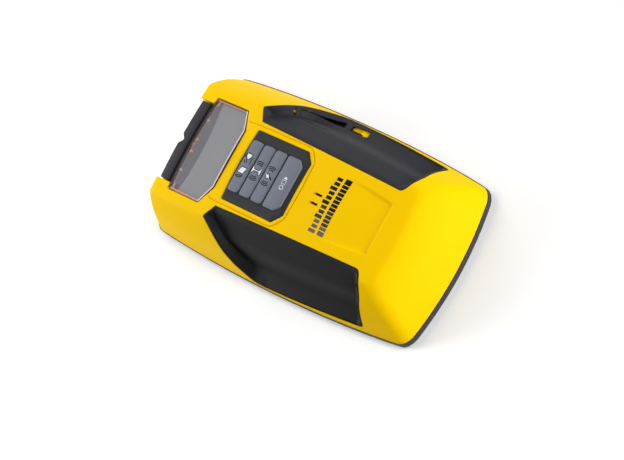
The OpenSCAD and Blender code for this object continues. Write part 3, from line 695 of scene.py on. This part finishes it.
def make_grip(side, outline, look, holes=()):
    loops = [(outline, True), *((grown(outline, by), True) for by in (-0.12, -0.3, -0.6))]
    for hole in holes:
        loops += [(spaced(hole, 0.7), True), (spaced(grown(hole, 0.12), 0.7), True)]
    filler = grid(-41, 41, -55, 34, 0.85)
    verts, faces = plan_mesh(loops, filler[distance(filler, outline) < 0], keep_off=0.22)
    verts, faces = inside_only(verts, outside_only(verts, faces, holes), outline)
    body_z, up_share = body_at(verts)
    z = grip_z(verts, body_z) - fillet(-distance(verts, outline), 0.3, 0.3) / up_share**0.5
    for hole in holes:
        z = z - fillet(np.maximum(0, distance(verts, hole)), 0.12, 0.1)
    solid = slab(verts, z, z - RUBBER_T, faces)
    piece("grip_" + side, *solid, "case", "grip_rubber", look, [side + "_grip"], angle=50)


def slot_patch(name, outline, drop, slot, look):
    """What shows through a slot of the right-hand grip: a small sheet of painted shade some way below the
    rubber's surface.
    """
    verts, faces = plan_mesh([(spaced(outline, 0.8), True)], grid(30, 39, -9, 24, 0.8))
    verts, faces = inside_only(verts, faces, outline)
    z = grip_z(verts, body_at(verts)[0]) - drop
    piece(name, *slab(verts, z, z - 0.15, faces), "case", slot, look, angle=60)


make_grip("right", GRIP, RUBBER, [grown(BUTTON, 0.13), WEDGE, FRONT_SLIT, HEEL_SLOT])
# the left grip gets the darker copy of the rubber: painted shade
make_grip("left", mirrored(GRIP), LEFT_RUBBER_SHADED)
# sheets of painted shade in the slots: black along the heel slot's inner side, darker yellow further in, and
# darker yellow in the slit and the gap by the button
slot_patch("slot_shade",
           [(34.6, 2.1), (37.7, 2.5), (37.7, 1.2), (35.75, 0.9), (35.7, -1.2), (35.6, -5.2), (34.5, -5.4)],
           0.3, "grip_rubber", GAP_SHADOW)
slot_patch("slot_painted_shade_yellow", [(35.6, 1.3), (37.5, 1.6), (38.2, -1.2), (38.3, -3.4), (35.6, -3.4)],
           0.85, "yellow_shell", SLOT_SHADE_YELLOW)
slot_patch("slit_spot", [(30.9, 22.45), (31.9, 22.6), (31.9, 23.25), (30.9, 23.25)],
           0.5, "yellow_shell", SLIT_SHADE_YELLOW)
slot_patch("slit_streak", [(34.3, 20.3), (34.9, 18.8), (35.3, 18.8), (34.8, 20.5)],
           0.45, "yellow_shell", SLIT_SHADE_YELLOW)

# ---- Display window -------------------------------------------------------------------------------


def window_piece(name, outline, drop, thick, slot, look, extra=(), edge=0.0, skirt=0.0, replaces=()):
    """A sheet that follows the window's crowned top, at some depth below it."""
    loops = [(spaced(outline, 1.2), True), *((line, True) for line in extra)]
    verts, faces = inside_only(*plan_mesh(loops, grid(-23, 23, 33, 60, 1.3), keep_off=0.25), outline)
    d = -distance(verts, outline)
    top = lens_top(*verts.T) - drop - (fillet(d, edge, edge * 0.8) if edge else 0)
    low = top - thick - (np.where(d < 1.0, skirt, 0) if skirt else 0)
    piece(name, *slab(verts, top, low, faces), "case", slot, look, replaces, angle=50)


def strip(name, line, inner, drop, look, slot="clear_window", thick=0.03):
    """A narrow band between two lines with the same number of points, under the window; it carries painted
    reflections, highlights and shade.
    """
    count = len(line)
    verts = np.concatenate([line, inner])
    top = lens_top(*verts.T) - drop
    points = np.concatenate([np.c_[verts, top], np.c_[verts, top - thick]])
    faces = []
    for i in range(count - 1):
        a, b, c, d = i, i + 1, count + i + 1, count + i
        faces += [(a, b, c, d), (d + 2 * count, c + 2 * count, b + 2 * count, a + 2 * count),
                  (b, a, a + 2 * count, b + 2 * count), (d, c, c + 2 * count, d + 2 * count)]
    last = count - 1
    faces += [(0, count, 3 * count, 2 * count), (count + last, last, last + 2 * count, last + 3 * count)]
    piece(name, points, faces, "case", slot, look)


CLEAR_LOOPS = (0.1, 0.25, 0.45, 0.7, 0.98, 1.02)
window_piece("window_clear", LENS, 0, 0.9, "clear_window", CLEAR, [lens_outline(v) for v in CLEAR_LOOPS],
             edge=0.7, skirt=3.2, replaces=["display_lens"])
window_piece("window_film", lens_outline(1.1), 1.05, 0.5, "lcd", FILM)

# a band of painted shadow across the front of the display film
SHADE_HALF = 21.2
shade_rear = [(x, 51.05 + 0.0063 * x**2 + 0.04 * x) for x in np.linspace(-SHADE_HALF, SHADE_HALF, 25)]
shade_front = [(x, 57.2 - 0.0012 * x**2) for x in np.linspace(SHADE_HALF, -SHADE_HALF, 25)]
window_piece("window_shade", np.array(shade_rear + shade_front), 0.99, 0.05, "lcd_plastic", FILM_SHADOW)

# painted shade along the window's front edge, with a thin painted reflection behind it
front_xs = np.linspace(-21.6, 21.6, 25)
front_line = np.array([(x, LENS_FRONT - 0.4 + 0.3 * (1 - (x / LENS_HALF) ** 2)) for x in front_xs])
strip("window_front_band", front_line, front_line - [0, 1.55], 0.95, WINDOW_EDGE_SHADE, "lcd_plastic")
strip("window_front_line", front_line - [0, 1.5], front_line - [0, 1.75], 0.93, PALE_REFLECTION)

# painted reflections along the window's sides: a warm inner strip, then a pale outer strip on the left and
# painted shade on the right
side_ys = np.linspace(39.2, 57.4, 12)
for side, sign, outer_look in (("left", -1, PALE_REFLECTION), ("right", 1, WINDOW_EDGE_SHADE)):
    for k, (x, wide, look) in enumerate([(21.25, 0.6, WARM_REFLECTION), (21.9, 0.35, outer_look)]):
        line = np.array([(sign * (x + wide), y) for y in side_ys])
        strip(f"window_side_{side}_{k}", line, line - [sign * wide, 0], 0.5, look)

# a painted highlight along the window's heel edge
heel_line = np.array(sorted([p for p in lens_outline(0.3) if p[1] < 39.6], key=lambda p: p[0]))
heel_inner = lens_outline(0.95)
heel_inner = np.array([heel_inner[np.argmin(np.hypot(*(heel_inner - p).T))] for p in heel_line])
strip("window_heel_line", heel_line, heel_inner, 0.45, EDGE_HIGHLIGHT)

# small reflections by the front edge: middle in x, middle in y, width, length, look
GLINTS = [
    (-3.6, 56.6, 0.9, 1.9, WARM_REFLECTION), (-0.4, 57.3, 0.7, 1.9, PALE_REFLECTION), (1.9, 56.8, 0.7, 1.9, WARM_REFLECTION),
    (-12.8, 56.9, 0.35, 1.9, EDGE_HIGHLIGHT), (11.6, 56.9, 0.35, 1.9, EDGE_HIGHLIGHT),
    (-20.2, 55.7, 2.2, 0.9, PALE_REFLECTION), (20.0, 55.9, 1.8, 0.9, WARM_REFLECTION)]
for k, (x, y, wide, long, look) in enumerate(GLINTS):
    line = np.array([(x - wide / 2, y + 0.35), (x, y + 0.5), (x + wide / 2, y + 0.3)])
    strip(f"window_glint_{k}", line, line - [0, long], 0.42, look, thick=0.02)

# ---- Marking guide --------------------------------------------------------------------------------

GUIDE_HALF, GUIDE_LOW, GUIDE_TOP = 19.1, 21.35, 25
GUIDE_FRONT, GUIDE_REAR, GUIDE_TAIL = 68, 62.5, 59.3
NOTCH = [(2.6, 68.3), (2.1, 68.0), (0.5, 66.6), (0, 66.4), (-0.5, 66.6), (-2.1, 68.0), (-2.6, 68.3)]


def guide_line(x_from, x_to, y, count):
    """Points along the guide, which is bowed forwards in the middle."""
    return [(x, y + 0.3 - 0.7 * (x / 19) ** 2) for x in np.linspace(x_from, x_to, count)]


def upright_piece(name, outline, low, top, look, **options):
    points, faces = loft([[(x, y, z) for x, y in outline] for z in (low, top)])
    piece(name, points, faces, "case", "black_shell", look, **options)


guide_front = [
    *guide_line(GUIDE_HALF, 4, GUIDE_FRONT, 8), *NOTCH, *guide_line(-4, -GUIDE_HALF, GUIDE_FRONT, 8)]
guide_rear = guide_line(-GUIDE_HALF, GUIDE_HALF, GUIDE_REAR, 16)
tail_front = guide_line(GUIDE_HALF, -GUIDE_HALF, GUIDE_REAR - 0.05, 16)
tail_rear = [(-GUIDE_HALF, GUIDE_TAIL), (GUIDE_HALF, GUIDE_TAIL)]
upright_piece("guide_bar", guide_rear + guide_front, GUIDE_LOW, GUIDE_TOP, GUIDE_PLASTIC,
              replaces=["marking_guide"], bevel=0.22, angle=30)
# a black step behind the guide: painted shadow in the gap before the window
upright_piece("guide_tail", tail_rear + tail_front, GUIDE_LOW, 22.0, GAP_SHADOW)

# ---- Keypad ---------------------------------------------------------------------------------------

KEY_HALF, KEY_TOP, KEY_GAP = 12, PANEL_TOP + 0.72, 0.17
# each key's front, rear and chamfer
KEY_ROWS = {
    "depth": (27.0, 20.75, 0),
    "metal": (19.95, 13.7, 0),
    "live_wire": (13.05, 6.75, 0),
    "select": (5.8, -3.25, 2.6),
}


def key_outline(front, rear, chamfer):
    if chamfer:
        corners = [
            (-KEY_HALF, front), (-KEY_HALF, rear + chamfer), (-KEY_HALF + chamfer, rear),
            (KEY_HALF - chamfer, rear), (KEY_HALF, rear + chamfer), (KEY_HALF, front)]
        return rounded(corners, [1.5, 1.2, 1.2, 1.2, 1.2, 1.5], 6)
    return rounded([(-KEY_HALF, front), (-KEY_HALF, rear), (KEY_HALF, rear), (KEY_HALF, front)], 1.7, 6)


def make_panel():
    holes = [grown(key_outline(*row), KEY_GAP) for row in KEY_ROWS.values()]
    loops = [(spaced(line, 2), True) for line in (PANEL, grown(PANEL, -0.25), *holes)]
    verts, faces = plan_mesh(loops, grid(-16, 16, -6, 27, 2.5))
    verts, faces = kept(outside_only(verts, faces, holes), verts)
    z = PANEL_TOP - fillet(-distance(verts, PANEL), 0.25, 0.2)
    solid = slab(verts, z, np.full(len(z), PANEL_TOP - 1.2), faces)
    piece("panel_film_piece", *solid, "case", "panel_plastic", PANEL_PLASTIC, ["keypad_panel"], angle=60)


def make_key(name, row):
    outline = spaced(key_outline(*row), 1.5)
    rows = [[(*p, PANEL_TOP - 2.1) for p in outline]]
    for by, below in ((0, 0.5), (-0.1, 0.24), (-0.3, 0.08), (-0.6, 0)):
        rows.append([(*p, KEY_TOP - below) for p in grown(outline, by)])
    key = name + "_key"
    piece(key + "_cap", *loft(rows), key, "key_plastic", KEY_PLASTIC, [key], angle=40)


make_panel()
for name, row in KEY_ROWS.items():
    make_key(name, row)

# ---- Pictograms on the keys -----------------------------------------------------------------------

WHITE_Z, DARK_Z = KEY_TOP + 0.02, KEY_TOP + 0.01


def ink(name, key, shapes, look, z_top):
    """Printed shapes on a key, each a closed outline."""
    points, faces = [], []
    for shape in shapes:
        shape_points, shape_faces = loft([[(x, y, z) for x, y in shape] for z in (KEY_TOP - 0.05, z_top)])
        faces += [tuple(i + len(points) for i in face) for face in shape_faces]
        points += shape_points.tolist()
    piece(name, points, faces, key + "_key", "key_plastic", look)


def waves(x, y):
    """Three arcs on each side of a point."""
    turn = np.linspace(-0.52, 0.52, 9)
    return [stroke(np.c_[x + side * radius * np.cos(turn), y + radius * 1.02 * np.sin(turn)], 0.4)
            for side in (-1, 1) for radius in (2.75, 3.5, 4.25)]


near_block = [(-3.3, 26.0), (-3.35, 23.2), (-0.8, 22.3), (-0.75, 25.1)]
far_block = [(3.0, 24.4), (3.5, 23.9), (4.3, 23.4), (5.5, 23.1), (5.6, 25.5), (4.4, 25.7)]
near_ring = [(-5.45, 26.1), (-5.6, 24.2), (-4.9, 22.8), (-4.05, 22.6), (-4.3, 24.6), (-4.7, 26.3)]
ink("depth_print", "depth", [near_block, far_block], WHITE_INK, WHITE_Z)
ink("depth_print_dark", "depth", [
    grown(near_block, 0.5), grown(far_block, 0.5), *ringed(near_ring, 0.42),
    stroke([(1.2, 25.0), (1.9, 25.6), (2.6, 25.85)], 0.4),
    stroke([(1.3, 24.2), (2.0, 24.5), (2.5, 24.9)], 0.35),
    stroke([(1.1, 22.35), (2.9, 22.35), (4.6, 22.1)], 0.4),
    stroke([(3.6, 26.25), (4.8, 26.35), (5.7, 26.1)], 0.35),
], DARK_INK, DARK_Z)

beam = [(-1.25, 19.6), (-1.25, 19.3), (0.05, 18.6), (0.05, 15.7), (-1.2, 15.1), (-1.2, 14.75),
        (1.6, 14.75), (1.6, 15.1), (0.42, 15.7), (0.42, 18.6), (1.65, 19.3), (1.65, 19.6)]
ink("metal_print", "metal", [beam], WHITE_INK, WHITE_Z)
ink("metal_print_dark", "metal", [grown(beam, 0.42), *waves(0.25, 17.05)], DARK_INK, DARK_Z)

bolt = [(1.3, 12.3), (-0.9, 10.6), (-0.3, 10.1), (-0.85, 8.9), (1.15, 10.4), (0.5, 10.95)]
bolt_tail = stroke([(0.2, 9.2), (-0.3, 8.4), (-0.9, 7.8)], 0.5)
ink("live_wire_print", "live_wire", [bolt], WHITE_INK, WHITE_Z)
ink("live_wire_print_dark", "live_wire", [grown(bolt, 0.5), bolt_tail, *waves(0.25, 10.1)], DARK_INK, DARK_Z)

turn = np.linspace(0, 2 * math.pi, 17)[:-1]
circle = np.c_[-1.75 + 1.0 * np.cos(turn), 1.2 + 1.15 * np.sin(turn)]
square = [(-0.2, 0.1), (1.6, 0.1), (1.6, 2.3), (-0.2, 2.3)]
triangle = [(2.1, 0.1), (3.2, 1.2), (2.1, 2.3)]
ink("select_print", "select", [*ringed(circle, 0.26), *ringed(square, 0.26), triangle], WHITE_INK, WHITE_Z)

# ---- Mark on the deck -----------------------------------------------------------------------------

MARK_HALF = 12.9


def deck_print(name, blocks, look):
    """Plain printed blocks on the deck. Each is (left, right, low, high), bowed with the rest of the mark."""
    points, faces = [], []
    for left, right, low, high in blocks:
        ys = np.linspace(low, high, 5)
        xs = np.linspace(left, right, max(2, math.ceil((right - left) / 0.8)))
        gx, gy = np.meshgrid(xs, ys)
        verts = np.c_[gx.ravel(), gy.ravel() - 0.7 * (gx.ravel() / MARK_HALF) ** 2]
        count = len(xs)
        corners = [i * count + k for i in range(len(ys) - 1) for k in range(count - 1)]
        triangles = [t for a in corners for t in ((a, a + 1, a + count + 1), (a, a + count + 1, a + count))]
        z = deck_surface(verts) + 0.03
        block_points, block_faces = slab(verts, z, z - 0.08, np.array(triangles))
        faces += [tuple(int(i) + len(points) for i in face) for face in block_faces]
        points += block_points.tolist()
    return piece(name, points, faces, "case", "ink", look, angle=60)


bars = [(-MARK_HALF + 2.15 * k, -11.4 + 2.15 * k, -23.3, -19.8 - (0.7 if k % 3 else 0)) for k in range(12)]
DASH_LOW, DASH_HIGH = -27.7, -24.55
dashes = [(-MARK_HALF, -10.9, DASH_LOW, DASH_HIGH),
          *((-10.5 + 1.75 * k, -9.1 + 1.75 * k, DASH_LOW, DASH_HIGH) for k in range(12)),
          (10.5, MARK_HALF, DASH_LOW, DASH_HIGH)]
STROKES = (-1.9, 2.15)
# the print's left and middle are lighter than its black by painted sheen
deck_print("deck_mark_left", bars[:3] + dashes[:2], MARK_SHEEN_GREY)
deck_print("deck_mark_middle", bars[3:6] + dashes[2:6], MARK_SHEEN_MID)
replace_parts(deck_print("deck_mark_right", bars[6:] + dashes[6:], MARK_BLACK), "deck_mark")
deck_print("deck_mark_strokes", [(x - 0.5, x + 0.5, -18.6, -15.4) for x in STROKES], MARK_BLACK)
deck_print("deck_mark_tips", [(x - 0.45, x + 0.45, -15.4, -14.3) for x in STROKES], MARK_TIP)

# ---- Side button ----------------------------------------------------------------------------------


def make_button():
    loops = [(spaced(grown(BUTTON, -v), 0.8), True) for v in (0, 0.08, 0.2)]
    verts, faces = inside_only(*plan_mesh(loops, grid(28, 37, 1, 24, 0.7), keep_off=0.2), BUTTON)
    z = grip_z(verts, body_at(verts)[0]) - 0.03 - fillet(-distance(verts, BUTTON), 0.2, 0.15)
    solid = slab(verts, z, z - 2.2, faces)
    piece("button_side", *solid, "side_button", "grip_rubber", RUBBER, ["side_button"], angle=50)


make_button()

# ---- CAD nodes that stay --------------------------------------------------------------------------

SLOT_LOOKS = {
    "black_shell": BLACK, "gasket": BLACK, "switch_plastic": BLACK, "door_plastic": BLACK,
    "foam": material("foam", (0.05, 0.05, 0.052), 0.9, vary=0.2, grain=1.0, grain_size=0.8),
    "pad": material("glide_strip", (0.015, 0.015, 0.016), 0.3, vary=0.1, grain=0.2),
    "screw_steel": material("screw_steel", (0.5, 0.5, 0.52), 0.3, vary=0.1, rough_vary=0.1, Metallic=1.0),
    "label": material("label_film", (0.45, 0.46, 0.47), 0.35, vary=0.03),
    "board": material("circuit_board", (0.02, 0.11, 0.035), 0.3, vary=0.2, blotch=3),
    "copper": material("copper_foil", (0.75, 0.38, 0.18), 0.3, vary=0.1, Metallic=1.0),
    "gold_pin": material("gold_pins", (0.8, 0.6, 0.25), 0.25, Metallic=1.0),
    "lcd": material("lcd_glass", (0.25, 0.26, 0.27), 0.1, vary=0.03),
    "lcd_plastic": material("lcd_bezel", (0.10, 0.10, 0.11), 0.5, vary=0.06),
    "light_guide": material("light_guide", (0.8, 0.78, 0.7), 0.3),
    "elastomer": material("elastomer", (0.55, 0.25, 0.33), 0.6, vary=0.2, blotch=0.5),
    "chip": material("chip_package", (0.02, 0.02, 0.021), 0.6, vary=0.1, grain=0.4),
    "battery_jacket": material("battery_jacket", (0.05, 0.07, 0.10), 0.3, vary=0.06, Metallic=0.6),
    "red_wire": material("red_wire", (0.40, 0.012, 0.01), 0.35),
    "black_wire": material("black_wire", (0.012, 0.012, 0.012), 0.35),
}
for part in frame["record"]["subparts"]:
    look = SLOT_LOOKS.get(part["material_slot"])
    if look and not nodes[part["node"]].hide_render:
        mesh = nodes[part["node"]].data
        mesh.materials.clear()
        mesh.materials.append(look)

# ---- Floor and light ------------------------------------------------------------------------------

FLOOR_HALF = 3
floor_mesh = bpy.data.meshes.new("floor")
floor_mesh.from_pydata(
    [(-FLOOR_HALF, -FLOOR_HALF, 0), (FLOOR_HALF, -FLOOR_HALF, 0), (FLOOR_HALF, FLOOR_HALF, 0),
     (-FLOOR_HALF, FLOOR_HALF, 0)], [], [(0, 1, 2, 3)])
floor_mesh.materials.append(material(
    "pale_floor", (0.95, 0.95, 0.95), 0.7, vary=0.005, blotch=300,
    Emission_Color=(1, 1, 1, 1), Emission_Strength=0.15))
floor = bpy.data.objects.new("floor", floor_mesh)
bpy.context.scene.collection.objects.link(floor)


def area_light(name, at, size, power):
    """A soft square light aimed at the middle of the housing."""
    data = bpy.data.lights.new(name, "AREA")
    data.shape = "RECTANGLE"
    data.size, data.size_y = size, size
    data.energy = power
    lamp = bpy.data.objects.new(name, data)
    lamp.location = at
    lamp.rotation_euler = (Vector(at) - Vector((0, 0, 0.01))).to_track_quat("Z", "Y").to_euler()
    bpy.context.scene.collection.objects.link(lamp)


area_light("above_right", (0.5, -0.5, 1.0), 0.7, 4.65)
area_light("above_front", (0, 0.9, 0.9), 0.7, 6.12)
area_light("heel", (0.15, -0.9, 0.22), 0.4, 6.48)
area_light("right_heel", (0.7, -0.6, 0.25), 0.4, 2.28)
area_light("right_front", (0.4, 0.6, 0.2), 0.4, 1.68)
area_light("left_front", (-0.4, 0.9, 0.3), 0.4, 8.72)

world = bpy.data.worlds.new("studio")
world.use_nodes = True
world.node_tree.nodes["Background"].inputs["Color"].default_value = (1, 1, 1, 1)
world.node_tree.nodes["Background"].inputs["Strength"].default_value = 0.02
bpy.context.scene.world = world
bpy.context.scene.view_settings.view_transform = "Standard"
